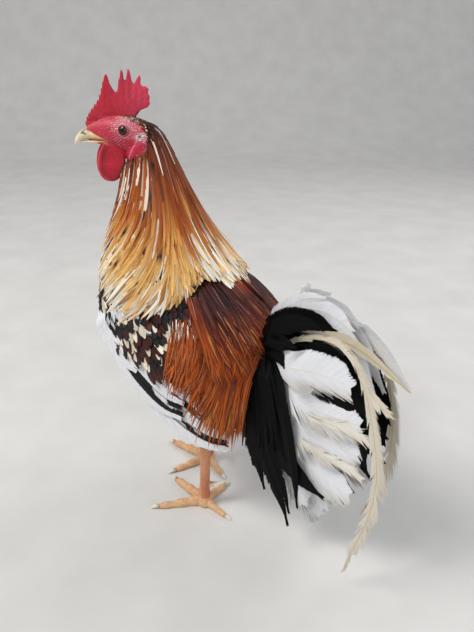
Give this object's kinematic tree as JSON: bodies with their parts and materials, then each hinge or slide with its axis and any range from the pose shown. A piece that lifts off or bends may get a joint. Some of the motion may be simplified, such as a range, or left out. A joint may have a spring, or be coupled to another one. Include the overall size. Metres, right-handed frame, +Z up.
{
  "type": "white hackle gamefowl",
  "caption": "Life-size still model of a white hackle gamefowl cock, standing with its head turned to its left, for display or as a farmyard bird.",
  "frame": {"origin": "centre of the bird's outline seen from above, on the floor under its feet", "axes": "+Z up; -X the way the body faces; -Y the bird's left side"},
  "size_m": [0.4692, 0.189, 0.5645],
  "materials": {
    "skin_red": "bare red skin, satin",
    "horn": "smooth horn",
    "eye": "wet gloss",
    "hackle": "feather, silky",
    "body": "feather, silky",
    "white": "feather, matte",
    "tail_mix": "feather, matte",
    "leg": "scaled skin, satin"
  },
  "bodies": {
    "root": {"beak_lower": "horn", "beak_upper": "horn", "claw_hind_left": "horn", "claw_hind_right": "horn", "claw_inner_left": "horn", "claw_inner_right": "horn", "claw_middle_left": "horn", "claw_middle_right": "horn", "claw_outer_left": "horn", "claw_outer_right": "horn", "comb": "skin_red", "earlobe_left": "skin_red", "earlobe_right": "skin_red", "eye_left": "eye", "eye_right": "eye", "foot_left": "leg", "foot_right": "leg", "head": "skin_red", "neck": "hackle", "shank_left": "leg", "shank_right": "leg", "spur_left": "horn", "spur_right": "horn", "tail": "tail_mix", "thigh_left": "white", "thigh_right": "white", "torso": "body", "wattle_left": "skin_red", "wattle_right": "skin_red", "wing_left": "white", "wing_right": "white"}
  },
  "joints": []
}
